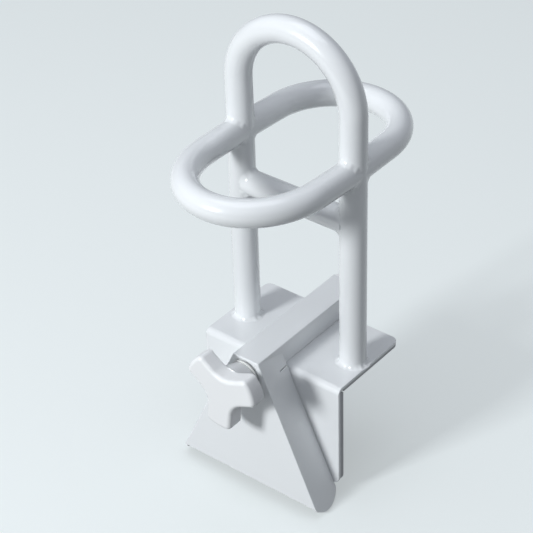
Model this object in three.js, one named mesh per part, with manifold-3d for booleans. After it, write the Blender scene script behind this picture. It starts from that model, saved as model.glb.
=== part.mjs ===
// Bathtub safety rail: a welded tube handle on a folded steel saddle that clamps over the rim of a bath.
// Millimetres, +Z up, +X along the rim, +Y into the bath.
// The origin lies under the rim pad, midway between the two posts.
import * as THREE from "three";
import { mergeVertices } from "three/addons/utils/BufferGeometryUtils.js";
import Module from "manifold-3d";

// Clearances
const FIT_GAP = 0.3; // between pieces that are fixed together
const SLIDE_GAP = 0.4; // round pieces that slide or turn
const CUT_OVERRUN = 2; // how far a cut runs past the face it opens

// Tube handle, heights above the top of the saddle
const TUBE_DIAMETER = 25;
const TUBE_WALL = 2;
const POST_SPACING = 123.3;
const HOOP_HEIGHT = 330;
const LOOP_WIDTH = 120; // between the axes of a loop's legs
const LOOP_HEIGHT = 203.8;
const LOOP_STRAIGHT = 48.8; // from the posts' plane to the start of the bend
const LOOP_END_SETBACK = 6; // from the posts' plane to the loop's cut end
const LOOP_LEAN = THREE.MathUtils.degToRad(-1.5); // the front stands a little higher than the back
const FRONT_LOOP_REACH = 118.2; // from the posts' plane to the axis of the bend
const REAR_LOOP_REACH = 113.8;
const BRACE_DIAMETER = 24;
const BRACE_HEIGHT = 150.4;

// Sheet metal and pads
const SHEET = 3;
const RIM_PAD_THICKNESS = 3;
const FLANGE_PAD_THICKNESS = 5;
const PAD_INSET = 0.4; // pads stop short of the sheet's edge
const SADDLE_WIDTH = 155;
const SADDLE_BACK = 51; // rear edge, behind the posts' plane
const SADDLE_FRONT = 43.6; // outer face of the flange, before the posts' plane
const FLANGE_DROP = 112; // below the top of the saddle
const SADDLE_CORNER = 7;
const SADDLE_BEND = 3; // inner bend radius

// Clamp arm
const ARM_WIDTH = 28.7;
const ARM_HEIGHT = 22.8; // above the top of the saddle
const ARM_FRONT = 79; // before the posts' plane
const ARM_BEND = 1; // inner bend radius of its folds
const ARM_SKIRT_DROP = 3.4; // how far its sides hang below the saddle's top, before the flange
const APRON_BOTTOM_WIDTH = 158;
const APRON_DROP = 116.3; // below the top of the saddle
const APRON_LEAN = 2.2; // the bottom edge stands this much further out
const CHEEK_TOE_IN = 4; // how far a cheek's rear edge lies inside its fold
const CHEEK_END_RADIUS = 22; // its round lower end, which starts at the apron's corner
const CHEEK_END_SETBACK = 18; // from the apron to the middle of that round end
const CHEEK_SLIT = 1; // between the cheek and the arm's side
const CHEEK_SLIT_DROP = 20; // down the fold to the slit
const CHEEK_SLIT_START = 24; // from the apron to the slit's closed end

// Spindle and knob
const SPINDLE_DIAMETER = 10;
const SPINDLE_HEIGHT = 6; // axis above the top of the saddle
const BUSH_WALL = 1.2;
const BUSH_FLANGE_DIAMETER = 18;
const BUSH_FLANGE_THICKNESS = 1.5;
const WASHER_DIAMETER = 31;
const WASHER_THICKNESS = 1.5;
const RING_DIAMETER = 16;
const RING_THICKNESS = 1.5;
const HUB_BACK_DIAMETER = 29; // the hub tapers towards the washer
const HUB_FRONT_DIAMETER = 40;
const HUB_LENGTH = 17.1;
const LOBE_COUNT = 3;
const LOBE_REACH = 39;
const LOBE_WIDTH = 27;
const LOBE_CORNER = 5; // where a lobe's sides meet its end
const LOBE_FILLET = 22; // between two lobes
const LOBE_THICKNESS = 16.6;
const LOBE_ROUNDING = 4;
const LOBE_TURN = THREE.MathUtils.degToRad(24); // first lobe, from +X towards +Z
const INSERT_FLATS = 14;
const INSERT_LENGTH = 20;

// Sliding jaw, at rest
const BLOCK_LENGTH = 22;
const BLOCK_NECK_WIDTH = 18.2;
const BLOCK_SHOE_WIDTH = 32;
const BLOCK_SHOE_THICKNESS = 11.8;
const NUT_FLATS = 17;
const NUT_LENGTH = 8;
const RIM_GAP = 60.3; // between the jaw's pad and the flange's pad
const JAW_PAD_THICKNESS = 5.7;
const JAW_WIDTH = 70;
const JAW_DROP = 63; // below the underside of the saddle
const JAW_CORNER = 8;
const JAW_PAD_INSET = 2;
const JAW_CLOSING = 15; // travel towards the flange
const JAW_OPENING = 13; // travel away from it
const JAW_PAD_WINDOW_MARGIN = 3; // round the jaw, in the rim pad
const TONGUE_HEIGHT = 18; // above the top of the saddle
const SCREW_DIAMETER = 4;
const SCREW_HEAD_DIAMETER = 7;
const SCREW_HEAD_THICKNESS = 2.6;
const SCREW_LENGTH = 14;
const SCREW_EDGE = 0.8; // from a screw hole to the side of the tongue
const SCREW_HEIGHT = 15.2; // above the top of the saddle
const CAP_PLUG_LENGTH = 3.3;
const CAP_FLANGE_THICKNESS = 3;
const CAP_END_WALL = 1;

// How finely curves are cut
const TUBE_SIDES = 20;
const BEND_STEPS = 20;
const FOLD_STEPS = 4;
const CHEEK_END_STEPS = 16;
const ROD_SIDES = 32;
const LOBE_ARC_STEPS = 5;
const HEXAGON = 6;
const TRIANGLE = 3;

// Places that several pieces share
const SADDLE_UNDERSIDE = RIM_PAD_THICKNESS + FIT_GAP;
const SADDLE_TOP = SADDLE_UNDERSIDE + SHEET;
const FLANGE_BACK_Y = SHEET - SADDLE_FRONT;
const FLANGE_PAD_FACE_Y = FLANGE_BACK_Y + FIT_GAP + FLANGE_PAD_THICKNESS;
const FLANGE_BOTTOM = SADDLE_TOP - FLANGE_DROP;
const POST_X = POST_SPACING / 2;
const TUBE_RADIUS = TUBE_DIAMETER / 2;
const ARM_TOP = SADDLE_TOP + ARM_HEIGHT;
const ARM_FOOT = SADDLE_TOP + FIT_GAP;
const ARM_INSIDE_X = ARM_WIDTH / 2 - SHEET;
const APRON_BOTTOM = SADDLE_TOP - APRON_DROP;
const SPINDLE_Z = SADDLE_TOP + SPINDLE_HEIGHT;
const SPINDLE_BORE = SPINDLE_DIAMETER + 2 * FIT_GAP;
const BUSH_DIAMETER = SPINDLE_BORE + 2 * BUSH_WALL;
const APRON_LEAN_SHARE = (ARM_TOP - SPINDLE_Z) / (ARM_TOP - APRON_BOTTOM);
const APRON_FACE_Y = -ARM_FRONT - APRON_LEAN * APRON_LEAN_SHARE; // at the height of the spindle
const BUSH_FRONT_Y = APRON_FACE_Y - FIT_GAP - BUSH_FLANGE_THICKNESS;
const WASHER_FRONT_Y = BUSH_FRONT_Y - FIT_GAP - WASHER_THICKNESS;
const HUB_BACK_Y = WASHER_FRONT_Y - FIT_GAP;
const LOBE_BACK_Y = HUB_BACK_Y - HUB_LENGTH;
const KNOB_FRONT_Y = LOBE_BACK_Y - LOBE_THICKNESS;
const INSERT_BACK_Y = HUB_BACK_Y - FIT_GAP;
const INSERT_FRONT_Y = INSERT_BACK_Y - INSERT_LENGTH;
const JAW_FACE_Y = FLANGE_PAD_FACE_Y + RIM_GAP;
const JAW_FRONT_Y = JAW_FACE_Y + JAW_PAD_THICKNESS + FIT_GAP;
const JAW_BACK_Y = JAW_FRONT_Y + SHEET;
const JAW_TOP = SADDLE_UNDERSIDE - SLIDE_GAP;
const JAW_BOTTOM = SADDLE_UNDERSIDE - JAW_DROP;
const BLOCK_FRONT_Y = JAW_BACK_Y + FIT_GAP;
const BLOCK_BACK_Y = BLOCK_FRONT_Y + BLOCK_LENGTH;
const CAP_FRONT_Y = BLOCK_BACK_Y + JAW_OPENING + SLIDE_GAP;
const ARM_BACK = CAP_FRONT_Y + CAP_PLUG_LENGTH;
const CAP_BACK_Y = ARM_BACK + FIT_GAP + CAP_FLANGE_THICKNESS;
const SPINDLE_BACK_Y = CAP_BACK_Y - CAP_END_WALL - FIT_GAP;
const SLOT_WIDTH = BLOCK_NECK_WIDTH + 2 * SLIDE_GAP;
const SLOT_FRONT_Y = JAW_FRONT_Y - JAW_CLOSING - CUT_OVERRUN;
const PAD_WINDOW_WIDTH = JAW_WIDTH + 2 * JAW_PAD_WINDOW_MARGIN;
const PAD_WINDOW_FRONT_Y = JAW_FACE_Y - JAW_CLOSING - JAW_PAD_WINDOW_MARGIN;
const SCREW_Z = SADDLE_TOP + SCREW_HEIGHT;
const SCREW_HOLE = SCREW_DIAMETER + 2 * FIT_GAP;
const SCREW_X = BLOCK_NECK_WIDTH / 2 - SCREW_EDGE - SCREW_HOLE / 2;

// Finishes
const WHITE_PAINT = { color: 0xf1f2f4, roughness: 0.28, metalness: 0 };
const WHITE_PLASTIC = { color: 0xeceeef, roughness: 0.45, metalness: 0 };
const GREY_RUBBER = { color: 0xc4c6c8, roughness: 0.85, metalness: 0 };
const STEEL = { color: 0xb4b8bc, roughness: 0.35, metalness: 1 };
const NYLON = { color: 0xdcdcd6, roughness: 0.6, metalness: 0 };

const wasm = await Module();
wasm.setup();

/** A closed geometry as a solid that can be joined and cut. */
function solid(geometry) {
  const bare = geometry.index ? geometry.toNonIndexed() : geometry.clone();
  bare.deleteAttribute("normal");
  bare.deleteAttribute("uv");
  const merged = mergeVertices(bare);
  return new wasm.Manifold(
    new wasm.Mesh({
      numProp: 3,
      vertProperties: merged.attributes.position.array,
      triVerts: new Uint32Array(merged.index.array),
    }),
  );
}

/** A solid as a geometry with flat faces. */
function geometryOf(body) {
  const mesh = body.getMesh();
  const geometry = new THREE.BufferGeometry();
  geometry.setAttribute("position", new THREE.BufferAttribute(mesh.vertProperties, mesh.numProp));
  geometry.setIndex(new THREE.BufferAttribute(mesh.triVerts, 1));
  const flat = geometry.toNonIndexed();
  flat.computeVertexNormals();
  return flat;
}

/** The first solid joined with the others. */
function join(first, ...others) {
  return others.reduce((body, other) => body.add(other), first);
}

/** The first solid with the others cut out of it. */
function cut(first, ...others) {
  return others.reduce((body, other) => body.subtract(other), first);
}

/** A box between two values on each axis. */
function block([x0, x1], [y0, y1], [z0, z1]) {
  const box = new THREE.BoxGeometry(x1 - x0, y1 - y0, z1 - z0);
  return solid(box.translate((x0 + x1) / 2, (y0 + y1) / 2, (z0 + z1) / 2));
}

/** A box that is centred across the part. */
function centredBlock(width, ySpan, zSpan) {
  return block([-width / 2, width / 2], ySpan, zSpan);
}

/** A rod or hexagon bar along Y, centred on x and z. */
function rod(diameter, [y0, y1], x = 0, z = SPINDLE_Z, sides = ROD_SIDES) {
  const round = new THREE.CylinderGeometry(diameter / 2, diameter / 2, y1 - y0, sides);
  return solid(round.translate(x, (y0 + y1) / 2, z));
}

/** A hexagon bar along Y on the spindle's axis, with two flats level. */
function hexagonBar(flats, ySpan) {
  const cornerDiameter = flats / Math.cos(Math.PI / HEXAGON);
  return rod(cornerDiameter, ySpan, 0, SPINDLE_Z, HEXAGON);
}

/** A solid drawn in plan (x, y) and raised from z0 to z1. */
function raise(shape, [z0, z1], curveSegments = FOLD_STEPS) {
  const extruded = new THREE.ExtrudeGeometry(shape, { depth: z1 - z0, bevelEnabled: false, curveSegments });
  return solid(extruded.translate(0, 0, z0));
}

/** A solid drawn from the front (x, z) and running from y0 to y1. */
function runBack(shape, [y0, y1], curveSegments = FOLD_STEPS) {
  const extruded = new THREE.ExtrudeGeometry(shape, { depth: y1 - y0, bevelEnabled: false, curveSegments });
  return solid(extruded.rotateX(Math.PI / 2).translate(0, y1, 0));
}

/** A solid drawn from the side (y, z), centred across the part. */
function runAcross(shape, width, curveSegments = FOLD_STEPS) {
  const extruded = new THREE.ExtrudeGeometry(shape, { depth: width, bevelEnabled: false, curveSegments });
  const [x, y, z] = [new THREE.Vector3(1, 0, 0), new THREE.Vector3(0, 1, 0), new THREE.Vector3(0, 0, 1)];
  extruded.applyMatrix4(new THREE.Matrix4().makeBasis(y, z, x));
  return solid(extruded.translate(-width / 2, 0, 0));
}

/** A closed outline through [a, b] points. */
function outline(points) {
  return new THREE.Shape(points.map(([a, b]) => new THREE.Vector2(a, b)));
}

/** A rectangle with a radius for each corner: low left, low right, high right and high left. */
function roundedRectangle([x0, x1], [y0, y1], [lowLeft, lowRight, highRight, highLeft]) {
  const shape = new THREE.Shape();
  shape.moveTo(x0 + lowLeft, y0);
  shape.lineTo(x1 - lowRight, y0);
  if (lowRight) shape.absarc(x1 - lowRight, y0 + lowRight, lowRight, -Math.PI / 2, 0);
  shape.lineTo(x1, y1 - highRight);
  if (highRight) shape.absarc(x1 - highRight, y1 - highRight, highRight, 0, Math.PI / 2);
  shape.lineTo(x0 + highLeft, y1);
  if (highLeft) shape.absarc(x0 + highLeft, y1 - highLeft, highLeft, Math.PI / 2, Math.PI);
  shape.lineTo(x0, y0 + lowLeft);
  if (lowLeft) shape.absarc(x0 + lowLeft, y0 + lowLeft, lowLeft, Math.PI, 1.5 * Math.PI);
  return shape;
}

/** The section of a sheet folded once: a level leg back to y1 and an upright leg down to z0. */
function foldedSection(faceY, topZ, backY, bottomZ, innerRadius) {
  const outerRadius = innerRadius + SHEET;
  const [centreY, centreZ] = [faceY + outerRadius, topZ - outerRadius];
  const shape = new THREE.Shape();
  shape.moveTo(faceY, bottomZ);
  shape.lineTo(faceY + SHEET, bottomZ);
  shape.lineTo(faceY + SHEET, centreZ);
  shape.absarc(centreY, centreZ, innerRadius, Math.PI, Math.PI / 2, true);
  shape.lineTo(backY, topZ - SHEET);
  shape.lineTo(backY, topZ);
  shape.lineTo(centreY, topZ);
  shape.absarc(centreY, centreZ, outerRadius, Math.PI / 2, Math.PI);
  return shape;
}

/** A path given by its own stations, so that straight runs take one step. */
class Route extends THREE.Curve {
  constructor(stations) {
    super();
    this.stations = stations;
  }

  station(share) {
    return this.stations[Math.round(share * (this.stations.length - 1))];
  }

  getPointAt(share, target = new THREE.Vector3()) {
    return target.copy(this.station(share).place);
  }

  getTangentAt(share, target = new THREE.Vector3()) {
    return target.copy(this.station(share).heading).normalize();
  }
}

/** The ring-shaped section of a tube. */
function tubeSection(diameter) {
  const radius = diameter / 2;
  const section = new THREE.Shape();
  section.absarc(0, 0, radius, 0, 2 * Math.PI);
  const bore = new THREE.Path();
  bore.absarc(0, 0, radius - TUBE_WALL, 0, 2 * Math.PI, true);
  section.holes.push(bore);
  return section;
}

/** A tube swept along stations of place and heading. */
function tube(stations) {
  return new THREE.ExtrudeGeometry(tubeSection(TUBE_DIAMETER), {
    steps: stations.length - 1,
    extrudePath: new Route(stations),
    curveSegments: TUBE_SIDES / 2,
  });
}

/** Stations along half an ellipse, from one leg round to the other. */
function halfEllipse(halfWidth, depth, toPoint) {
  return Array.from({ length: BEND_STEPS + 1 }, (_, step) => {
    const angle = Math.PI * (1 - step / BEND_STEPS);
    const place = toPoint(halfWidth * Math.cos(angle), depth * Math.sin(angle));
    const heading = toPoint(halfWidth * Math.sin(angle), -depth * Math.cos(angle));
    return { place, heading };
  });
}

/** What is cut from a tube that is welded to the posts. */
function postCopes() {
  return [-POST_X, POST_X].map((x) => {
    const radius = TUBE_RADIUS + FIT_GAP;
    const cope = new THREE.CylinderGeometry(radius, radius, 2 * TUBE_DIAMETER, ROD_SIDES);
    return (z) => solid(cope.clone().rotateX(Math.PI / 2).translate(x, 0, z));
  });
}

/** The upside-down U of tube whose legs are the posts. */
function makeHoop() {
  const centreZ = SADDLE_TOP + HOOP_HEIGHT - TUBE_RADIUS - POST_X;
  const footZ = SADDLE_TOP + FIT_GAP;
  const upright = new THREE.Vector3(0, 0, 1);
  const arch = halfEllipse(POST_X, POST_X, (across, up) => new THREE.Vector3(across, 0, up));
  arch.forEach((station) => {
    station.place.z += centreZ;
  });
  const left = { place: new THREE.Vector3(-POST_X, 0, footZ), heading: upright };
  const right = { place: new THREE.Vector3(POST_X, 0, footZ), heading: upright.clone().negate() };
  return solid(tube([left, ...arch, right]));
}

/** One loop: two straight legs and a half-elliptical bend, towards -Y or +Y. */
function makeLoop(reach, side) {
  const legX = LOOP_WIDTH / 2;
  const toSide = (across, out) => new THREE.Vector3(across, side * out, 0);
  const bend = halfEllipse(legX, reach - LOOP_STRAIGHT, toSide);
  bend.forEach((station) => {
    station.place.y += side * LOOP_STRAIGHT;
  });
  const outwards = new THREE.Vector3(0, side, 0);
  const left = { place: toSide(-legX, LOOP_END_SETBACK), heading: outwards };
  const right = { place: toSide(legX, LOOP_END_SETBACK), heading: outwards.clone().negate() };
  const height = SADDLE_TOP + LOOP_HEIGHT;
  const swept = tube([left, ...bend, right]).rotateX(LOOP_LEAN).translate(0, 0, height);
  return cut(solid(swept), ...postCopes().map((cope) => cope(height)));
}

/** The short tube between the posts. */
function makeBrace() {
  const height = SADDLE_TOP + BRACE_HEIGHT;
  const straight = new THREE.ExtrudeGeometry(tubeSection(BRACE_DIAMETER), {
    depth: POST_SPACING,
    bevelEnabled: false,
    curveSegments: TUBE_SIDES / 2,
  });
  straight.rotateY(Math.PI / 2).translate(-POST_X, 0, height);
  return cut(solid(straight), ...postCopes().map((cope) => cope(height)));
}

/** The sheet folded over the rim, with the slot that the slider runs in. */
function makeSaddle() {
  const section = foldedSection(-SADDLE_FRONT, SADDLE_TOP, SADDLE_BACK, FLANGE_BOTTOM, SADDLE_BEND);
  const halfWidth = SADDLE_WIDTH / 2;
  const around = [-halfWidth, halfWidth];
  const front = -SADDLE_FRONT - CUT_OVERRUN;
  const plan = roundedRectangle(around, [front, SADDLE_BACK], [0, 0, SADDLE_CORNER, SADDLE_CORNER]);
  const face = roundedRectangle(around, [FLANGE_BOTTOM, SADDLE_TOP], [SADDLE_CORNER, SADDLE_CORNER, 0, 0]);
  const slot = centredBlock(
    SLOT_WIDTH,
    [SLOT_FRONT_Y, SADDLE_BACK + CUT_OVERRUN],
    [SADDLE_UNDERSIDE - CUT_OVERRUN, SADDLE_TOP + CUT_OVERRUN],
  );
  const folded = runAcross(section, SADDLE_WIDTH)
    .intersect(raise(plan, [FLANGE_BOTTOM, SADDLE_TOP]))
    .intersect(runBack(face, [front, SADDLE_BACK]));
  return cut(folded, slot);
}

/** The pad on top of the rim, open at the back where the jaw slides. */
function makeRimPad() {
  const halfWidth = SADDLE_WIDTH / 2 - PAD_INSET;
  const front = FLANGE_PAD_FACE_Y + FIT_GAP;
  const back = SADDLE_BACK - PAD_INSET;
  const corner = SADDLE_CORNER - PAD_INSET;
  const plan = roundedRectangle([-halfWidth, halfWidth], [front, back], [0, 0, corner, corner]);
  const window = centredBlock(
    PAD_WINDOW_WIDTH,
    [PAD_WINDOW_FRONT_Y, SADDLE_BACK + CUT_OVERRUN],
    [-CUT_OVERRUN, SADDLE_UNDERSIDE],
  );
  return cut(raise(plan, [0, RIM_PAD_THICKNESS]), window);
}

/** The pad between the flange and the outside of the bath. */
function makeFlangePad() {
  const halfWidth = SADDLE_WIDTH / 2 - PAD_INSET;
  const corner = SADDLE_CORNER - PAD_INSET;
  const zSpan = [FLANGE_BOTTOM + PAD_INSET, -FIT_GAP];
  const face = roundedRectangle([-halfWidth, halfWidth], zSpan, [corner, corner, 0, 0]);
  return runBack(face, [FLANGE_BACK_Y + FIT_GAP, FLANGE_PAD_FACE_Y]);
}

/** The arm's channel: a web with two sides, open below. */
function armChannel() {
  const halfWidth = ARM_WIDTH / 2;
  const outerRadius = ARM_BEND + SHEET;
  const outerCorners = [0, 0, outerRadius, outerRadius];
  const outside = roundedRectangle([-halfWidth, halfWidth], [ARM_FOOT, ARM_TOP], outerCorners);
  const inside = roundedRectangle(
    [-ARM_INSIDE_X, ARM_INSIDE_X],
    [ARM_FOOT - CUT_OVERRUN, ARM_TOP - SHEET],
    [0, 0, ARM_BEND, ARM_BEND],
  );
  const ySpan = [SHEET - ARM_FRONT, ARM_BACK];
  const hollow = [-ARM_FRONT, ARM_BACK + CUT_OVERRUN];
  return cut(runBack(outside, ySpan), runBack(inside, hollow));
}

/** The arm's two sides where they hang lower, before the flange. */
function armSkirts() {
  const zSpan = [SADDLE_TOP - ARM_SKIRT_DROP, ARM_FOOT + SHEET];
  const ySpan = [SHEET - ARM_FRONT, -SADDLE_FRONT - FIT_GAP];
  return [
    block([-ARM_WIDTH / 2, -ARM_INSIDE_X], ySpan, zSpan),
    block([ARM_INSIDE_X, ARM_WIDTH / 2], ySpan, zSpan),
  ];
}

/** The wide apron that the arm's web folds down into, upright. */
function apron() {
  const stubBack = -ARM_FRONT + 2 * (ARM_BEND + SHEET);
  const section = foldedSection(-ARM_FRONT, ARM_TOP, stubBack, APRON_BOTTOM, ARM_BEND);
  const [topX, bottomX] = [ARM_WIDTH / 2, APRON_BOTTOM_WIDTH / 2];
  const face = outline([
    [-bottomX, APRON_BOTTOM],
    [bottomX, APRON_BOTTOM],
    [topX, ARM_TOP],
    [-topX, ARM_TOP],
  ]);
  const faceRun = [-ARM_FRONT - CUT_OVERRUN, stubBack + CUT_OVERRUN];
  return runAcross(section, APRON_BOTTOM_WIDTH).intersect(runBack(face, faceRun));
}

/** One cheek, folded back from the apron's slanted edge and joined to the arm's side; side is -1 or 1. */
function cheek(side) {
  const foldTop = new THREE.Vector3(ARM_WIDTH / 2, -ARM_FRONT, ARM_TOP);
  const foldBottom = new THREE.Vector3(APRON_BOTTOM_WIDTH / 2, -ARM_FRONT, APRON_BOTTOM);
  const down = foldBottom.clone().sub(foldTop);
  const foldLength = down.length();
  down.normalize();
  const outwards = new THREE.Vector3(-down.z, 0, down.x);
  const back = new THREE.Vector3(0, ARM_FRONT + APRON_LEAN - SADDLE_FRONT, 0);
  back.addScaledVector(outwards, -CHEEK_TOE_IN);
  const depth = back.length();
  back.normalize();
  const sideSlope = -back.x / down.x; // the cheek's top edge follows the arm's side
  const endHeight = Math.sqrt(CHEEK_END_RADIUS ** 2 - CHEEK_END_SETBACK ** 2);
  const [endStart, endStop] = [-CHEEK_END_SETBACK, depth - CHEEK_END_SETBACK].map((across) =>
    Math.asin(across / CHEEK_END_RADIUS),
  );
  const slitEnd = CHEEK_SLIT_DROP + CHEEK_SLIT;
  const face = new THREE.Shape();
  face.moveTo(0, 0);
  face.lineTo(foldLength, 0);
  face.absarc(foldLength - endHeight, CHEEK_END_SETBACK, CHEEK_END_RADIUS, endStart, endStop);
  face.lineTo(slitEnd, depth);
  face.lineTo(slitEnd, CHEEK_SLIT_START);
  face.lineTo(CHEEK_SLIT_DROP, CHEEK_SLIT_START);
  face.lineTo(CHEEK_SLIT_DROP, depth);
  face.lineTo(depth * sideSlope, depth);
  const normal = down.clone().cross(back);
  const placed = new THREE.Matrix4().makeBasis(down, back, normal);
  placed.setPosition(foldTop.addScaledVector(normal, -SHEET));
  const extruded = new THREE.ExtrudeGeometry(face, {
    depth: SHEET,
    bevelEnabled: false,
    curveSegments: CHEEK_END_STEPS,
  });
  extruded.applyMatrix4(placed);
  return solid(side > 0 ? extruded : mirrored(extruded));
}

/** A geometry mirrored in the YZ plane, its triangles turned to face out again. */
function mirrored(geometry) {
  const twin = geometry.index ? geometry.toNonIndexed() : geometry.clone();
  twin.scale(-1, 1, 1);
  const corners = twin.attributes.position;
  const [second, third] = [new THREE.Vector3(), new THREE.Vector3()];
  for (let corner = 0; corner < corners.count; corner += TRIANGLE) {
    second.fromBufferAttribute(corners, corner + 1);
    third.fromBufferAttribute(corners, corner + 2);
    corners.setXYZ(corner + 1, ...third);
    corners.setXYZ(corner + 2, ...second);
  }
  return twin;
}

/** A solid whose points move out in proportion to their depth below the arm's top. */
function leaned(body) {
  const lean = APRON_LEAN / (ARM_TOP - APRON_BOTTOM);
  const geometry = geometryOf(body);
  geometry.translate(0, 0, -ARM_TOP);
  geometry.applyMatrix4(new THREE.Matrix4().makeShear(0, 0, 0, 0, 0, lean));
  return solid(geometry.translate(0, 0, ARM_TOP));
}

/** The channel, its apron and its cheeks, folded from one sheet. */
function makeArm() {
  const pastFlange = [-SADDLE_FRONT - FIT_GAP, 0];
  const fullHeight = [APRON_BOTTOM - ARM_HEIGHT, ARM_TOP + CUT_OVERRUN];
  const behindFlange = centredBlock(APRON_BOTTOM_WIDTH + SADDLE_WIDTH, pastFlange, fullHeight);
  const face = cut(leaned(join(apron(), cheek(-1), cheek(1))), behindFlange);
  const bushHole = rod(BUSH_DIAMETER + 2 * FIT_GAP, [KNOB_FRONT_Y, -SADDLE_FRONT]);
  return cut(join(armChannel(), ...armSkirts(), face), bushHole);
}

/** The plug in the channel's open end, with a blind bore for the spindle. */
function makeEndCap() {
  const inside = ARM_INSIDE_X - FIT_GAP;
  const plugSpan = [ARM_FOOT, ARM_TOP - SHEET - FIT_GAP];
  const plug = centredBlock(2 * inside, [CAP_FRONT_Y, ARM_BACK + FIT_GAP + CAP_END_WALL], plugSpan);
  const flangeRun = [ARM_BACK + FIT_GAP, CAP_BACK_Y];
  const outerRadius = ARM_BEND + SHEET;
  const flangeFace = roundedRectangle(
    [-ARM_WIDTH / 2, ARM_WIDTH / 2],
    [ARM_FOOT, ARM_TOP],
    [ARM_BEND, ARM_BEND, outerRadius, outerRadius],
  );
  const bore = rod(SPINDLE_BORE, [CAP_FRONT_Y - CUT_OVERRUN, CAP_BACK_Y - CAP_END_WALL]);
  return cut(join(plug, runBack(flangeFace, flangeRun)), bore);
}

/** The flanged bush in the apron. */
function makeBush() {
  const barrel = rod(BUSH_DIAMETER, [BUSH_FRONT_Y, APRON_FACE_Y + SHEET]);
  const flange = rod(BUSH_FLANGE_DIAMETER, [BUSH_FRONT_Y, BUSH_FRONT_Y + BUSH_FLANGE_THICKNESS]);
  return cut(join(barrel, flange), rod(SPINDLE_BORE, [BUSH_FRONT_Y - CUT_OVERRUN, -SADDLE_FRONT]));
}

/** A flat ring round the spindle. */
function ring(diameter, [y0, y1]) {
  return cut(rod(diameter, [y0, y1]), rod(SPINDLE_BORE, [y0 - CUT_OVERRUN, y1 + CUT_OVERRUN]));
}

/** The knob's outline: broad lobes with blunt ends, and a fillet between each two. */
function lobedOutline() {
  const shape = new THREE.Shape();
  const halfWidth = LOBE_WIDTH / 2;
  const quarterTurn = Math.PI / 2;
  const pitch = (2 * Math.PI) / LOBE_COUNT;
  const cornerAcross = halfWidth - LOBE_CORNER;
  const cornerAway = LOBE_REACH - LOBE_CORNER;
  const cornerAngle = Math.asin(cornerAcross / cornerAway);
  const filletAway = (halfWidth + LOBE_FILLET) / Math.sin(pitch / 2);
  Array.from({ length: LOBE_COUNT }, (_, lobe) => LOBE_TURN + lobe * pitch).forEach((middle) => {
    const [low, high, valley] = [middle - cornerAngle, middle + cornerAngle, middle + pitch / 2];
    const from = (away, angle) => [away * Math.cos(angle), away * Math.sin(angle)];
    const [start, end] = [middle - quarterTurn, middle + pitch + quarterTurn - 2 * Math.PI];
    shape.absarc(...from(cornerAway, low), LOBE_CORNER, middle - quarterTurn, low);
    shape.absarc(0, 0, LOBE_REACH, low, high);
    shape.absarc(...from(cornerAway, high), LOBE_CORNER, high, middle + quarterTurn);
    shape.absarc(...from(filletAway, valley), LOBE_FILLET, start, end, true);
  });
  return shape;
}

/** The knob's lobes, with rounded edges. */
function knobLobes() {
  const extruded = new THREE.ExtrudeGeometry(lobedOutline(), {
    curveSegments: LOBE_ARC_STEPS,
    depth: LOBE_THICKNESS - LOBE_ROUNDING,
    bevelThickness: LOBE_ROUNDING,
    bevelSize: LOBE_ROUNDING,
    bevelOffset: -LOBE_ROUNDING,
    bevelSegments: 2,
  });
  extruded.rotateX(Math.PI / 2).translate(0, LOBE_BACK_Y, SPINDLE_Z);
  const behind = centredBlock(2 * LOBE_REACH, [LOBE_BACK_Y, LOBE_BACK_Y + LOBE_THICKNESS], [
    SPINDLE_Z - LOBE_REACH,
    SPINDLE_Z + LOBE_REACH,
  ]);
  return cut(solid(extruded), behind);
}

/** The hand knob: lobes and a tapered hub, with a hexagon socket for its insert. */
function makeKnob() {
  const [backRadius, frontRadius] = [HUB_BACK_DIAMETER / 2, HUB_FRONT_DIAMETER / 2];
  const hub = new THREE.CylinderGeometry(backRadius, frontRadius, HUB_LENGTH, ROD_SIDES);
  hub.translate(0, (LOBE_BACK_Y + HUB_BACK_Y) / 2, SPINDLE_Z);
  const socket = hexagonBar(INSERT_FLATS + 2 * FIT_GAP, [INSERT_FRONT_Y - FIT_GAP, HUB_BACK_Y + CUT_OVERRUN]);
  return cut(join(knobLobes(), solid(hub)), socket);
}

/** The slider in the channel, with its neck in the slot and its shoe under the saddle. */
function makeJawBlock() {
  const slideX = ARM_INSIDE_X - SLIDE_GAP;
  const neckX = BLOCK_NECK_WIDTH / 2;
  const shoeX = BLOCK_SHOE_WIDTH / 2;
  const [slideTop, slideFoot] = [ARM_TOP - SHEET - SLIDE_GAP, SADDLE_TOP + SLIDE_GAP];
  const shoeFoot = JAW_TOP - BLOCK_SHOE_THICKNESS;
  const half = [
    [shoeX, shoeFoot],
    [shoeX, JAW_TOP],
    [neckX, JAW_TOP],
    [neckX, slideFoot],
    [slideX, slideFoot],
    [slideX, slideTop],
  ];
  const otherHalf = half.map(([x, z]) => [-x, z]).reverse();
  const body = runBack(outline([...half, ...otherHalf]), [BLOCK_FRONT_Y, BLOCK_BACK_Y]);
  const bore = rod(SPINDLE_BORE, [BLOCK_FRONT_Y - CUT_OVERRUN, BLOCK_BACK_Y + CUT_OVERRUN]);
  const pocketFront = BLOCK_BACK_Y - NUT_LENGTH - 2 * FIT_GAP;
  const pocket = hexagonBar(NUT_FLATS + 2 * FIT_GAP, [pocketFront, BLOCK_BACK_Y + CUT_OVERRUN]);
  return cut(body, bore, pocket, ...screwHoles());
}

/** Clearance holes for the two jaw screws. */
function screwHoles() {
  const end = JAW_FRONT_Y + SCREW_LENGTH + FIT_GAP;
  return [-1, 1].map((side) =>
    rod(SCREW_HOLE, [JAW_FRONT_Y - CUT_OVERRUN, end], side * SCREW_X, SCREW_Z),
  );
}

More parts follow.
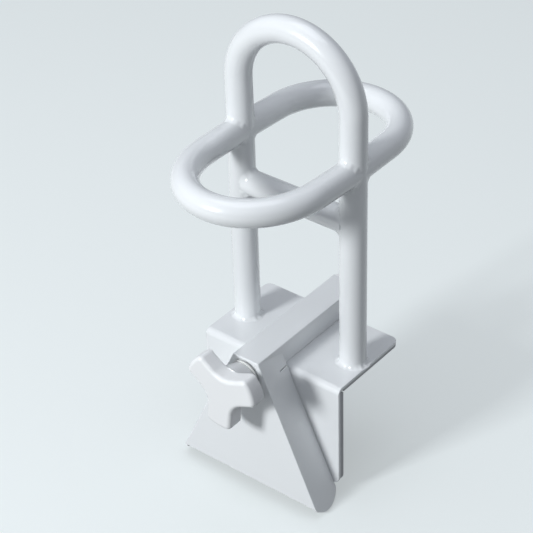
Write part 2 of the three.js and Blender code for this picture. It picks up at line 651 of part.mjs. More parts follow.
/** The plate inside the bath, with a tongue up through the slot. */
function makeInnerJaw() {
  const halfWidth = JAW_WIDTH / 2;
  const ySpan = [JAW_FRONT_Y, JAW_BACK_Y];
  const corners = [JAW_CORNER, JAW_CORNER, 0, 0];
  const plate = runBack(roundedRectangle([-halfWidth, halfWidth], [JAW_BOTTOM, JAW_TOP], corners), ySpan);
  const tongue = centredBlock(BLOCK_NECK_WIDTH, ySpan, [JAW_BOTTOM / 2, SADDLE_TOP + TONGUE_HEIGHT]);
  const bore = rod(SPINDLE_BORE, [JAW_FRONT_Y - CUT_OVERRUN, JAW_BACK_Y + CUT_OVERRUN]);
  return cut(join(plate, tongue), bore, ...screwHoles());
}

/** The pad on the inner jaw. */
function makeJawPad() {
  const halfWidth = JAW_WIDTH / 2 - JAW_PAD_INSET;
  const corner = JAW_CORNER - JAW_PAD_INSET;
  const zSpan = [JAW_BOTTOM + JAW_PAD_INSET, JAW_TOP - JAW_PAD_INSET];
  const face = roundedRectangle([-halfWidth, halfWidth], zSpan, [corner, corner, 0, 0]);
  return runBack(face, [JAW_FACE_Y, JAW_FACE_Y + JAW_PAD_THICKNESS]);
}

/** One screw through the tongue into the slider; side is -1 or 1. */
function makeJawScrew(side) {
  const x = side * SCREW_X;
  const headBack = JAW_FRONT_Y - FIT_GAP;
  const head = rod(SCREW_HEAD_DIAMETER, [headBack - SCREW_HEAD_THICKNESS, headBack], x, SCREW_Z);
  return join(head, rod(SCREW_DIAMETER, [headBack, headBack + SCREW_LENGTH], x, SCREW_Z));
}

/** The hexagon nut in the slider. */
function makeNut() {
  const back = BLOCK_BACK_Y - FIT_GAP;
  const bar = hexagonBar(NUT_FLATS, [back - NUT_LENGTH, back]);
  return cut(bar, rod(SPINDLE_BORE, [back - NUT_LENGTH - CUT_OVERRUN, back + CUT_OVERRUN]));
}

/** The steel insert in the knob. */
function makeInsert() {
  const bar = hexagonBar(INSERT_FLATS, [INSERT_FRONT_Y, INSERT_BACK_Y]);
  return cut(bar, rod(SPINDLE_BORE, [INSERT_FRONT_Y - CUT_OVERRUN, INSERT_BACK_Y + CUT_OVERRUN]));
}

/** Adds a named piece to a group. */
function place(group, name, finish, body) {
  const mesh = new THREE.Mesh(geometryOf(body), new THREE.MeshStandardMaterial(finish));
  mesh.name = name;
  group.add(mesh);
}

const washerRun = [WASHER_FRONT_Y, WASHER_FRONT_Y + WASHER_THICKNESS];
const ringFront = APRON_FACE_Y + SHEET + FIT_GAP;

const frame = new THREE.Group();
place(frame, "saddle_plate", WHITE_PAINT, makeSaddle());
place(frame, "hoop", WHITE_PAINT, makeHoop());
place(frame, "front_loop", WHITE_PAINT, makeLoop(FRONT_LOOP_REACH, -1));
place(frame, "rear_loop", WHITE_PAINT, makeLoop(REAR_LOOP_REACH, 1));
place(frame, "cross_brace", WHITE_PAINT, makeBrace());
place(frame, "clamp_arm", WHITE_PAINT, makeArm());
place(frame, "rim_pad", GREY_RUBBER, makeRimPad());
place(frame, "flange_pad", GREY_RUBBER, makeFlangePad());
place(frame, "arm_end_cap", WHITE_PLASTIC, makeEndCap());
place(frame, "front_bush", NYLON, makeBush());

const knob = new THREE.Group();
place(knob, "knob", WHITE_PLASTIC, makeKnob());
place(knob, "knob_insert", STEEL, makeInsert());
place(knob, "spindle", STEEL, rod(SPINDLE_DIAMETER, [INSERT_FRONT_Y, SPINDLE_BACK_Y]));
place(knob, "thrust_washer", NYLON, ring(WASHER_DIAMETER, washerRun));
place(knob, "retaining_ring", STEEL, ring(RING_DIAMETER, [ringFront, ringFront + RING_THICKNESS]));

const jaw = new THREE.Group();
place(jaw, "jaw_block", NYLON, makeJawBlock());
place(jaw, "spindle_nut", STEEL, makeNut());
place(jaw, "inner_jaw", WHITE_PAINT, makeInnerJaw());
place(jaw, "inner_jaw_pad", GREY_RUBBER, makeJawPad());
place(jaw, "jaw_screw_left", STEEL, makeJawScrew(-1));
place(jaw, "jaw_screw_right", STEEL, makeJawScrew(1));

const rail = new THREE.Group();
rail.add(frame, knob, jaw);

export default rail;
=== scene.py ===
"""Bathtub safety rail: the dressed model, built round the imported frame.

A welded white tube handle stands on a folded saddle that clamps over a rim. Meshes are
drawn in millimetres, +Z up, +X along the rim, +Y to the rear, away from the knob, and
scaled to metres when a piece is settled, so every piece lies where its CAD node does.
"""

import logging
import math
from collections.abc import Callable, Iterable, Sequence
from dataclasses import dataclass
from enum import Enum
from itertools import pairwise

import bmesh
import bpy
from mathutils import Matrix, Vector


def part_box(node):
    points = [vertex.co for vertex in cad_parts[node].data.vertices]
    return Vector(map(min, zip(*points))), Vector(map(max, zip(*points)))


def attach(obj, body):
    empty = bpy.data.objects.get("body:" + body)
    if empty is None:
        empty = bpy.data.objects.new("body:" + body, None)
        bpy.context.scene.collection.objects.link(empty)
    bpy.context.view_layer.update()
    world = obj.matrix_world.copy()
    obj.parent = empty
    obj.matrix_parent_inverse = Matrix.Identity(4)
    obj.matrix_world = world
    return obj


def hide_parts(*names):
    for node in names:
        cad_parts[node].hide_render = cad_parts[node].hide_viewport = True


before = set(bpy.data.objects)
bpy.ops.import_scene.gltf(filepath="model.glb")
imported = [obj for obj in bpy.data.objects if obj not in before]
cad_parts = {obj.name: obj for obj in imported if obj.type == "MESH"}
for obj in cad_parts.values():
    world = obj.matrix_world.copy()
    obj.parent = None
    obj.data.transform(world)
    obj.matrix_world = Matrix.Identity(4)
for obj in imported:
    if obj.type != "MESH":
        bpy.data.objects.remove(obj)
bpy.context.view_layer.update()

LOG = logging.getLogger("safety_rail")
MILLIMETRE = 0.001
TUBE_SIDES = 64
BEND_STEPS = 72
LATHE_STEPS = 72
EDGE_STEPS = 3
FINE_EDGE_STEPS = 2
SHARP_ANGLE = 32.0  # degrees, past which an edge is sharp on most pieces
ROUND_CREASE = 40.0  # the same on pieces with coarser roundings
WELD_CREASE = 70.0  # and on the welds
FLAT_ANGLE = 0.6  # degrees, under which triangles of a CAD node are one face
NODE_DISTANCE = 0.005  # millimetres, within which its corners are one
NEAR = 0.1  # how close to a plane counts as on it
MERGE_DISTANCE = 1e-3  # within which points of a turned or swept mesh are one
SEAM_DISTANCE = 0.02  # the same for a sheet's two halves and for the thread's turns
SLIVER_AREA = 1e-6  # faces smaller than this, in square millimetres, are dropped
PATCH_DETAIL = 3.0
GRAIN_DETAIL = 2.0
X_AXIS = Vector((1, 0, 0))
Y_AXIS = Vector((0, 1, 0))
Z_AXIS = Vector((0, 0, 1))


class Body(Enum):
    """The bodies of the frame that a piece can ride on."""

    FRAME = "rail_frame"
    KNOB = "hand_knob"
    JAW = "sliding_jaw"


# Finishes


@dataclass(frozen=True)
class Finish:
    """One surface finish, as a procedural material.

    Attributes:
        name: the material's name.
        slot: a material slot's name; nothing in this script reads it.
        colour: the main colour, linear.
        tint: the colour that the main one drifts to in soft patches.
        drift: the size of those patches.
        roughness: the smoothest and the roughest value.
        grain: the size of the surface texture's cells.
        relief: the height of that texture.
        metallic: 1 for bare metal.
        coat: the strength of a clear coat.
        coat_roughness: the clear coat's roughness.
    """

    name: str
    slot: str
    colour: tuple[float, float, float]
    tint: tuple[float, float, float]
    drift: float = 60.0
    roughness: tuple[float, float] = (0.3, 0.36)
    grain: float = 1.5
    relief: float = 0.02
    metallic: float = 0.0
    coat: float = 0.0
    coat_roughness: float = 0.1

    def material(self) -> bpy.types.Material:
        """Makes the material, or returns the one made before.

        Returns:
            The material.
        """
        made = bpy.data.materials.get(self.name)
        if made:
            return made
        made = bpy.data.materials.new(self.name)
        made.use_nodes = True
        nodes, links = made.node_tree.nodes, made.node_tree.links
        shader = nodes["Principled BSDF"]
        shader.inputs["Metallic"].default_value = self.metallic
        shader.inputs["Coat Weight"].default_value = self.coat
        shader.inputs["Coat Roughness"].default_value = self.coat_roughness
        place = nodes.new("ShaderNodeTexCoord").outputs["Object"]
        patches = self._noise(made, place, self.drift, PATCH_DETAIL)
        blend = nodes.new("ShaderNodeMix")
        blend.data_type = "RGBA"
        blend.inputs["A"].default_value = (*self.colour, 1)
        blend.inputs["B"].default_value = (*self.tint, 1)
        links.new(patches, blend.inputs["Factor"])
        links.new(blend.outputs["Result"], shader.inputs["Base Color"])
        texture = self._noise(made, place, self.grain, GRAIN_DETAIL)
        span = nodes.new("ShaderNodeMapRange")
        span.inputs["To Min"].default_value = self.roughness[0]
        span.inputs["To Max"].default_value = self.roughness[1]
        links.new(patches, span.inputs["Value"])
        links.new(span.outputs["Result"], shader.inputs["Roughness"])
        bump = nodes.new("ShaderNodeBump")
        bump.inputs["Distance"].default_value = self.relief * MILLIMETRE
        links.new(texture, bump.inputs["Height"])
        links.new(bump.outputs["Normal"], shader.inputs["Normal"])
        made.diffuse_color = (*self.colour, 1)
        return made

    @staticmethod
    def _noise(
        material: bpy.types.Material,
        place: bpy.types.NodeSocket,
        cell: float,
        detail: float,
    ) -> bpy.types.NodeSocket:
        """Adds a noise texture.

        Args:
            material: the material that it is added to.
            place: the socket that gives the coordinates.
            cell: the size of its cells, in millimetres.
            detail: how much finer detail it has.

        Returns:
            The socket with its value.
        """
        noise = material.node_tree.nodes.new("ShaderNodeTexNoise")
        noise.inputs["Scale"].default_value = 1 / (cell * MILLIMETRE)
        noise.inputs["Detail"].default_value = detail
        material.node_tree.links.new(place, noise.inputs["Vector"])
        return noise.outputs["Fac"]


GLOSS_WHITE = Finish(
    "gloss white powder coat",
    "white_paint",
    colour=(0.86, 0.875, 0.885),
    tint=(0.845, 0.862, 0.875),
    roughness=(0.2, 0.27),
    grain=1.4,
    relief=0.012,
    coat=0.7,
    coat_roughness=0.05,
)
SATIN_PLASTIC = Finish(
    "satin white moulded plastic",
    "white_plastic",
    colour=(0.9, 0.905, 0.91),
    tint=(0.885, 0.892, 0.897),
    drift=25.0,
    roughness=(0.4, 0.48),
    grain=0.5,
    relief=0.012,
)
PAD_RUBBER = Finish(
    "grey pad rubber",
    "grey_rubber",
    colour=(0.66, 0.67, 0.68),
    tint=(0.6, 0.61, 0.62),
    drift=12.0,
    roughness=(0.75, 0.9),
    grain=0.6,
    relief=0.06,
)
ZINC_STEEL = Finish(
    "zinc plated steel",
    "zinc_steel",
    colour=(0.62, 0.64, 0.67),
    tint=(0.54, 0.56, 0.6),
    drift=6.0,
    roughness=(0.28, 0.42),
    grain=0.4,
    relief=0.015,
    metallic=1.0,
)
PALE_NYLON = Finish(
    "pale nylon",
    "nylon",
    colour=(0.78, 0.785, 0.77),
    tint=(0.73, 0.735, 0.715),
    drift=10.0,
    roughness=(0.45, 0.58),
    grain=0.5,
    relief=0.02,
)


# Mesh helpers


def add_object(name: str, data: bpy.types.ID) -> bpy.types.Object:
    """Puts a mesh, a lamp or a camera into the scene.

    Args:
        name: the object's name.
        data: what it shows.

    Returns:
        The object.
    """
    made = bpy.data.objects.new(name, data)
    bpy.context.scene.collection.objects.link(made)
    return made


@dataclass(frozen=True)
class Piece:
    """What a finished mesh is called, what carries it and what it stands for.

    Attributes:
        name: the piece's name.
        body: the body that it rides on.
        finish: its surface finish.
        nodes: the CAD nodes that it replaces.
        crease: the angle past which its edges look sharp, in degrees.
    """

    name: str
    body: Body
    finish: Finish
    nodes: tuple[str, ...] = ()
    crease: float = SHARP_ANGLE

    def settle(self, mesh: bmesh.types.BMesh) -> None:
        """Turns a mesh in millimetres into a piece of the model, riding on its body.

        Args:
            mesh: the mesh, which is freed.
        """
        bmesh.ops.scale(mesh, vec=Vector.Fill(3, MILLIMETRE), verts=mesh.verts)
        bmesh.ops.recalc_face_normals(mesh, faces=mesh.faces)
        for face in mesh.faces:
            face.smooth = True
        for edge in mesh.edges:
            edge.smooth = edge.calc_face_angle(0.0) < math.radians(self.crease)
        data = bpy.data.meshes.new(self.name)
        mesh.to_mesh(data)
        mesh.free()
        data.materials.append(self.finish.material())
        made = add_object(self.name, data)
        weighted = made.modifiers.new("weighted normals", "WEIGHTED_NORMAL")
        weighted.keep_sharp = True
        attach(made, self.body.value)
        if self.nodes:
            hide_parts(*self.nodes)
        LOG.info("%s: %d faces, on %s", self.name, len(data.polygons), self.body.value)


def edges_between(verts: Sequence[bmesh.types.BMVert]) -> list[bmesh.types.BMEdge]:
    """Finds the edges that join some vertices.

    Args:
        verts: the vertices.

    Returns:
        The edges with both ends among them, once each and in the vertices' order.
    """
    among = set(verts)
    return list(dict.fromkeys(e for v in verts for e in v.link_edges if set(e.verts) <= among))


def everything(mesh: bmesh.types.BMesh) -> list:
    """All the vertices, edges and faces of a mesh."""
    return mesh.verts[:] + mesh.edges[:] + mesh.faces[:]


def new_of(made: dict, kind: type) -> list:
    """Picks one kind of element from what an operator made.

    Args:
        made: the operator's result.
        kind: BMVert, BMEdge or BMFace.

    Returns:
        The elements of that kind.
    """
    return [element for element in made["geom"] if isinstance(element, kind)]


def station(place: Vector, heading: Vector, normal: Vector) -> Matrix:
    """A place on a path, with its section's plane square to the heading.

    Args:
        place: the point.
        heading: the direction of travel.
        normal: a direction square to the heading.

    Returns:
        The matrix that takes a section drawn in the XY plane to that place.
    """
    ahead = heading.normalized()
    side = normal.cross(ahead).normalized()
    turned = Matrix((side, ahead.cross(side), ahead)).transposed().to_4x4()
    turned.translation = place
    return turned


def sweep(
    mesh: bmesh.types.BMesh,
    stations: Sequence[Matrix],
    radius: float,
) -> None:
    """Sweeps a round section along a path, and closes both its ends.

    Args:
        mesh: the mesh that it is added to.
        stations: the path.
        radius: the section's radius.
    """
    made = bmesh.ops.create_circle(
        mesh, cap_ends=True, radius=radius, segments=TUBE_SIDES, matrix=stations[0]
    )
    ring = edges_between(made["verts"])
    for before, after in pairwise(stations):
        grown = bmesh.ops.extrude_edge_only(mesh, edges=ring)
        verts = new_of(grown, bmesh.types.BMVert)
        step = after @ before.inverted()
        bmesh.ops.transform(mesh, matrix=step, verts=verts)
        ring = edges_between(verts)
    bmesh.ops.edgeloop_fill(mesh, edges=ring)


def face_through(mesh: bmesh.types.BMesh, points: Iterable[Vector]) -> bmesh.types.BMFace:
    """Makes a flat face.

    Args:
        mesh: the mesh that it is added to.
        points: its corners in order.

    Returns:
        The face.
    """
    corners = [bmesh.ops.create_vert(mesh, co=p)["vert"][0] for p in points]
    edges = [mesh.edges.new(pair) for pair in zip(corners, corners[1:] + corners[:1])]
    return bmesh.ops.edgeloop_fill(mesh, edges=edges)["faces"][0]


def push(mesh: bmesh.types.BMesh, face: bmesh.types.BMFace, by: Vector) -> None:
    """Extrudes a face into a solid.

    Args:
        mesh: the mesh that holds it.
        face: the face.
        by: how far and which way.
    """
    grown = bmesh.ops.extrude_face_region(mesh, geom=[face], use_keep_orig=True)
    bmesh.ops.translate(mesh, vec=by, verts=new_of(grown, bmesh.types.BMVert))


def lathe(
    mesh: bmesh.types.BMesh,
    profile: Sequence[tuple[float, float]],
    centre: Vector,
    axis: Vector,
) -> None:
    """Turns a closed profile round an axis.

    Args:
        mesh: the mesh that it is added to.
        profile: (radius, distance along the axis) corners in order.
        centre: where the distance is zero.
        axis: the axis, Y or Z.
    """
    corners = [centre + X_AXIS * radius + axis * along for radius, along in profile]
    verts = [bmesh.ops.create_vert(mesh, co=p)["vert"][0] for p in corners]
    edges = [mesh.edges.new(pair) for pair in zip(verts, verts[1:] + verts[:1])]
    bmesh.ops.spin(
        mesh,
        geom=verts + edges,
        cent=centre,
        axis=axis,
        angle=2 * math.pi,
        steps=LATHE_STEPS,
        use_merge=True,
    )
    bmesh.ops.remove_doubles(mesh, verts=mesh.verts, dist=MERGE_DISTANCE)
    slivers = [f for f in mesh.faces if f.calc_area() < SLIVER_AREA]
    bmesh.ops.delete(mesh, geom=slivers, context="FACES")


def ring_through(mesh: bmesh.types.BMesh, sections: Sequence[Sequence[Vector]]) -> None:
    """Makes a closed ring whose section changes on its way round.

    Args:
        mesh: the mesh that it is added to.
        sections: the points of the section at each place, in order.
    """
    along, around = len(sections), len(sections[0])
    made = bmesh.ops.create_grid(mesh, x_segments=around, y_segments=along, size=1.0)
    for vert in made["verts"]:
        corner = round((vert.co.x + 1) / 2 * around) % around
        place = round((vert.co.y + 1) / 2 * along) % along
        vert.co = sections[place][corner]
    bmesh.ops.remove_doubles(mesh, verts=mesh.verts, dist=MERGE_DISTANCE)


def arc(
    centre: tuple[float, float], radius: float, start: float, end: float, steps: int
) -> list[tuple[float, float]]:
    """Points along an arc.

    Args:
        centre: its centre.
        radius: its radius.
        start: the first angle, in degrees.
        end: the last angle.
        steps: how many steps it takes.

    Returns:
        The points, both ends included.
    """
    angles = [math.radians(start + (end - start) * i / steps) for i in range(steps + 1)]
    return [(centre[0] + radius * math.cos(a), centre[1] + radius * math.sin(a)) for a in angles]


def polar(away: float, angle: float) -> tuple[float, float]:
    """The point at a distance and an angle in degrees."""
    return (away * math.cos(math.radians(angle)), away * math.sin(math.radians(angle)))


def soften(
    mesh: bmesh.types.BMesh,
    offset: float,
    segments: int = EDGE_STEPS,
    sharper_than: float = SHARP_ANGLE,
    only: Callable[[bmesh.types.BMEdge], bool] | None = None,
) -> None:
    """Rounds the sharp edges.

    Args:
        mesh: the mesh.
        offset: the width of the rounding.
        segments: how many facets it has.
        sharper_than: the least angle of an edge that is rounded, in degrees.
        only: a test that an edge has to pass too.
    """
    least = math.radians(sharper_than)
    sharp = [e for e in mesh.edges if e.calc_face_angle(0.0) > least and (not only or only(e))]
    bmesh.ops.bevel(
        mesh,
        geom=sharp,
        offset=offset,
        offset_type="OFFSET",
        segments=segments,
        profile=0.5,
        affect="EDGES",
        clamp_overlap=True,
        material=-1,
    )


def solid_of_node(node: str) -> bmesh.types.BMesh:
    """Copies a CAD node's mesh, with its triangles merged into flat faces.

    Args:
        node: the node's name.

    Returns:
        The copy, in millimetres.
    """
    mesh = bmesh.new()
    mesh.from_mesh(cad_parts[node].data)
    bmesh.ops.scale(mesh, vec=Vector.Fill(3, 1 / MILLIMETRE), verts=mesh.verts)
    bmesh.ops.remove_doubles(mesh, verts=mesh.verts, dist=NODE_DISTANCE)
    bmesh.ops.dissolve_limit(
        mesh, angle_limit=math.radians(FLAT_ANGLE), verts=mesh.verts, edges=mesh.edges
    )
    return mesh


# Tube handle


@dataclass(frozen=True)
class RoundFace:
    """The face of a tube, which a weld lies on."""

    centre: Vector
    axis: Vector
    radius: float

    def normal(self, place: Vector) -> Vector:
        """The direction away from the tube's axis at a place."""
        away = place - self.centre
        return (away - self.axis * away.dot(self.axis)).normalized()

    def drop(self, place: Vector) -> Vector:
        """Moves a place straight onto the face.

        Args:
            place: the place.

        Returns:
            The nearest point of the face.
        """
        away = place - self.centre
        foot = self.centre + self.axis * away.dot(self.axis)
        return foot + self.normal(place) * self.radius


@dataclass(frozen=True)
class LevelFace:
    """A level face that a weld lies on."""

    height: float

    def normal(self, place: Vector) -> Vector:
        """Straight up."""
        return Z_AXIS

    def drop(self, place: Vector) -> Vector:
        """The place moved onto the face."""
        return Vector((place.x, place.y, self.height))


@dataclass(frozen=True)
class Wave:
    """A small rise and fall on the way round a weld."""

    height: float
    count: int
    phase: float = 0.0

    def at(self, turn: float, shift: float = 0.0) -> float:
        """Its value at an angle, in radians."""
        return self.height * math.sin(self.count * turn + self.phase + shift)


@dataclass
class TubeHandle:
    """The hoop, its two side loops and the brace, with their welds.

    A weld runs weld_leg along each of its two faces and bulges by weld_fill of that. It
    shrinks where the faces are nearly in line, which is when the cosine between them is
    within weld_fade of one. Its edges lie weld_sink inside the faces and its root
    weld_root below the seam, and the waves make it a little uneven.
    """

    radius: float = 12.5
    post_x: float = 61.65
    foot_z: float = 6.6
    plate_z: float = 6.3
    arch_z: float = 262.15
    leg_x: float = 60.0
    loop_z: float = 210.1
    loop_lean: float = math.radians(-1.5)
    leg_straight: float = 48.8
    front_reach: float = 118.2
    rear_reach: float = 113.8
    brace_radius: float = 12.0
    brace_z: float = 156.7
    weld_leg: float = 4.0
    weld_fill: float = 0.16
    weld_fade: float = 0.4
    weld_steps: int = 120
    weld_facets: int = 6
    weld_sink: float = 0.1
    weld_root: float = 1.2
    weld_swell: Wave = Wave(0.14, 3)
    weld_ripple: Wave = Wave(0.07, 11)
    weld_crown: Wave = Wave(0.07, 17, 1.3)
    seam_rounds: int = 6
    seam_limit: float = 0.99

    def build(self) -> None:
        """Builds the tubes and every weld on them."""
        self.hoop()
        self.loop("front_loop", self.front_reach, -1)
        self.loop("rear_loop", self.rear_reach, 1)
        self.brace()
        for name, x in (("left", -self.post_x), ("right", self.post_x)):
            self.foot_weld(f"weld_{name}_foot", x)
            self.leg_weld(f"weld_{name}_front", x, -1)
            self.leg_weld(f"weld_{name}_rear", x, 1)
            self.brace_weld(f"weld_{name}_brace", x)

    def hoop(self) -> None:
        """Builds the upside-down U whose legs are the posts."""
        centre = Matrix.Translation((0, 0, self.arch_z))
        foot = Matrix.Translation((-self.post_x, 0, self.foot_z))
        out = Matrix.Translation((-self.post_x, 0, 0))
        arch = [
            centre @ Matrix.Rotation(math.pi * i / BEND_STEPS, 4, "Y") @ out
            for i in range(BEND_STEPS + 1)
        ]
        last = Matrix.Translation((0, 0, self.foot_z - self.arch_z)) @ arch[-1]
        mesh = bmesh.new()
        sweep(mesh, [foot, *arch, last], self.radius)
        Piece("hoop_tube", Body.FRAME, GLOSS_WHITE, ("hoop",)).settle(mesh)

    def loop(self, node: str, reach: float, side: int) -> None:
        """Builds one loop: two legs and a half-elliptical bend.

        Args:
            node: the CAD node that it stands for.
            reach: from the posts' plane to the axis of the bend.
            side: -1 for the front and 1 for the rear.
        """
        depth = reach - self.leg_straight
        stations = [self._leg(-self.post_x, side, 1)]
        for i in range(BEND_STEPS + 1):
            angle = math.pi * (1 - i / BEND_STEPS)
            across, out = math.cos(angle), math.sin(angle)
            place = Vector((self.leg_x * across, side * (self.leg_straight + depth * out), 0))
            heading = Vector((self.leg_x * out, -side * depth * across, 0))
            stations.append(station(place, heading, Z_AXIS))
        stations.append(self._leg(self.post_x, side, -1))
        level = self._level()
        mesh = bmesh.new()
        sweep(mesh, [level @ s for s in stations], self.radius)
        Piece(f"{node}_tube", Body.FRAME, GLOSS_WHITE, (node,)).settle(mesh)

    def _leg(self, x: float, side: int, way: int) -> Matrix:
        """The station where a leg ends, in the middle of its post."""
        return station(Vector((x, 0, 0)), Y_AXIS * side * way, Z_AXIS)

    def _level(self) -> Matrix:
        """The height and the lean of the loops."""
        return Matrix.Translation((0, 0, self.loop_z)) @ Matrix.Rotation(self.loop_lean, 4, "X")

    def brace(self) -> None:
        """Builds the short tube between the posts."""
        inside = self.post_x - self.radius / 2
        ends = [station(Vector((x, 0, self.brace_z)), X_AXIS, Z_AXIS) for x in (-inside, inside)]
        mesh = bmesh.new()
        sweep(mesh, ends, self.brace_radius)
        Piece("cross_brace_tube", Body.FRAME, GLOSS_WHITE, ("cross_brace",)).settle(mesh)

    def _weld(
        self,
        name: str,
        seam: Sequence[Vector],
        first: RoundFace,
        second: RoundFace | LevelFace,
    ) -> None:
        """Lays a smooth, slightly uneven weld along a closed seam.

        Args:
            name: the piece's name.
            seam: points near the seam in order, the first not repeated.
            first: one of the two faces that meet there.
            second: the other face.
        """
        sections = []
        for i, place in enumerate(seam):
            for _ in range(self.seam_rounds):
                place = first.drop(second.drop(place))
            turn = 2 * math.pi * i / len(seam)
            uneven = self.weld_swell.at(turn, len(name)) + self.weld_ripple.at(turn)
            up, out = first.normal(place), second.normal(place)
            leg = self.weld_leg * (1 + uneven) * min(1.0, (1 - up.dot(out)) / self.weld_fade)
            fill = leg * (self.weld_fill + self.weld_crown.at(turn))
            along_first = (out - up * out.dot(up)).normalized()
            along_second = (up - out * up.dot(out)).normalized()
            middle = (up + out).normalized()
            start = first.drop(place + along_first * leg) - up * self.weld_sink
            end = second.drop(place + along_second * leg) - out * self.weld_sink
            crown = place + middle * fill
            shares = [step / self.weld_facets for step in range(self.weld_facets + 1)]
            section = [
                start * (1 - t) ** 2 + crown * 2 * t * (1 - t) + end * t**2 for t in shares
            ]
            sections.append([*section, place - middle * self.weld_root])
        mesh = bmesh.new()
        ring_through(mesh, sections)
        Piece(name, Body.FRAME, GLOSS_WHITE, crease=WELD_CREASE).settle(mesh)

    def _post(self, x: float) -> RoundFace:
        """The face of a post."""
        return RoundFace(Vector((x, 0, 0)), Z_AXIS, self.radius)

    def _bulge(self, across: float) -> float:
        """How far a post's face stands out at a distance beside the post's axis."""
        off = min(abs(across), self.radius * self.seam_limit)
        return math.sqrt(self.radius**2 - off**2)

    def foot_weld(self, name: str, x: float) -> None:
        """Lays the weld between a post and the saddle.

        Args:
            name: the piece's name.
            x: the post's place.
        """
        points = arc((x, 0), self.radius, 0, 360, self.weld_steps)[:-1]
        seam = [Vector((a, b, self.plate_z)) for a, b in points]
        self._weld(name, seam, self._post(x), LevelFace(self.plate_z))

    def leg_weld(self, name: str, x: float, side: int) -> None:
        """Lays the weld where a loop's leg meets a post.

        Args:
            name: the piece's name.
            x: the post's place.
            side: -1 for the front and 1 for the rear.
        """
        level = self._level()
        seam = [
            level @ Vector((x + across, side * self._bulge(across), up))
            for across, up in arc((0, 0), self.radius, 0, 360, self.weld_steps)[:-1]
        ]
        toe_in = math.copysign(self.post_x - self.leg_x, x)
        axis = Vector((-toe_in, side * self.leg_straight, 0)).normalized()
        face = RoundFace(level @ Vector((x, 0, 0)), level.to_3x3() @ axis, self.radius)
        self._weld(name, seam, self._post(x), face)

    def brace_weld(self, name: str, x: float) -> None:
        """Lays the weld where the brace meets a post.

        Args:
            name: the piece's name.
            x: the post's place.
        """
        seam = [
            Vector((x - math.copysign(self._bulge(along), x), along, self.brace_z + up))
            for along, up in arc((0, 0), self.brace_radius, 0, 360, self.weld_steps)[:-1]
        ]
        face = RoundFace(Vector((0, 0, self.brace_z)), X_AXIS, self.brace_radius)
        self._weld(name, seam, self._post(x), face)


# Saddle and pads


@dataclass
class Saddle:
    """The folded plate over the rim, with its two pads."""

    sheet: float = 3.0
    half_width: float = 77.5
    front: float = -43.6
    back: float = 51.0
    top: float = 6.3
    bottom: float = -105.7
    bend: float = 6.0
    corner: float = 7.0
    slot_half: float = 9.5
    slot_front: float = 14.0
    edge: float = 0.45
    rim_pad_edge: float = 0.5
    flange_pad_edge: float = 0.6
    inner_steps: int = 10
    outer_steps: int = 14
    corner_steps: int = 10

    def build(self) -> None:
        """Builds the plate and its pads."""
        self.plate()
        self.rim_pad()
        self.flange_pad()

    def _section(self) -> list[Vector]:
        """The plate's section in the YZ plane.

        Returns:
            Its corners in order, at the left edge.
        """
        centre = (self.front + self.bend, self.top - self.bend)
        inner = arc(centre, self.bend - self.sheet, 180, 90, self.inner_steps)
        outer = arc(centre, self.bend, 90, 180, self.outer_steps)
        points = [
            (self.front, self.bottom),
            (self.front + self.sheet, self.bottom),
            *inner,
            (self.back, self.top - self.sheet),
            (self.back, self.top),
            *outer,
        ]
        return [Vector((-self.half_width, y, z)) for y, z in points]

    def plate(self) -> None:
        """Builds the folded plate with the slot for the slider."""
        mesh = bmesh.new()
        face = face_through(mesh, self._section())
        push(mesh, face, X_AXIS * 2 * self.half_width)
        for place, normal in (
            (Vector((-self.slot_half, 0, 0)), X_AXIS),
            (Vector((self.slot_half, 0, 0)), X_AXIS),
            (Vector((0, self.slot_front, 0)), Y_AXIS),
        ):
            every = everything(mesh)
            bmesh.ops.bisect_plane(mesh, geom=every, plane_co=place, plane_no=normal)
        inside = [f for f in mesh.faces if self._in_slot(f.calc_center_median())]
        bmesh.ops.delete(mesh, geom=inside, context="FACES")
        rim = [e for e in mesh.edges if e.is_boundary]
        half = self.sheet / 2
        upright = [e for e in rim if abs(e.verts[0].co.z - e.verts[1].co.z) > half]
        bmesh.ops.bridge_loops(mesh, edges=[e for e in rim if e not in upright])
        self._round_corners(mesh)
        soften(mesh, self.edge)
        Piece("saddle_sheet", Body.FRAME, GLOSS_WHITE, ("saddle_plate",)).settle(mesh)

    def _in_slot(self, place: Vector) -> bool:
        """Whether a face's middle lies in the slider's slot."""
        return abs(place.x) < self.slot_half and place.y > self.slot_front

    def _is_corner(self, edge: bmesh.types.BMEdge) -> bool:
        """Tests for an edge through the sheet at one of the plate's four corners.

        Args:
            edge: the edge.

        Returns:
            Whether it is at a side, and at the rear edge or the flange's lower one.
        """
        a, b = edge.verts[0].co, edge.verts[1].co
        if min(abs(a.x), abs(b.x)) < self.half_width - NEAR:
            return False
        return min(a.y, b.y) > self.back - NEAR or max(a.z, b.z) < self.bottom + NEAR

    def _round_corners(self, mesh: bmesh.types.BMesh) -> None:
        """Rounds the plate's two rear corners and the flange's two lower ones.

        Args:
            mesh: the plate's mesh.
        """
        corners = [e for e in mesh.edges if self._is_corner(e)]
        bmesh.ops.bevel(
            mesh,
            geom=corners,
            offset=self.corner,
            offset_type="OFFSET",
            segments=self.corner_steps,
            profile=0.5,
            affect="EDGES",
            material=-1,
        )

    def rim_pad(self) -> None:
        """Builds the pad on top of the rim, open at the back for the jaw."""
        mesh = solid_of_node("rim_pad")
        soften(mesh, self.rim_pad_edge)
        Piece("rim_pad_rubber", Body.FRAME, PAD_RUBBER, ("rim_pad",)).settle(mesh)

    def flange_pad(self) -> None:
        """Builds the pad behind the flange."""
        mesh = solid_of_node("flange_pad")
        soften(mesh, self.flange_pad_edge)
        Piece("flange_pad_rubber", Body.FRAME, PAD_RUBBER, ("flange_pad",)).settle(mesh)


# Clamp arm


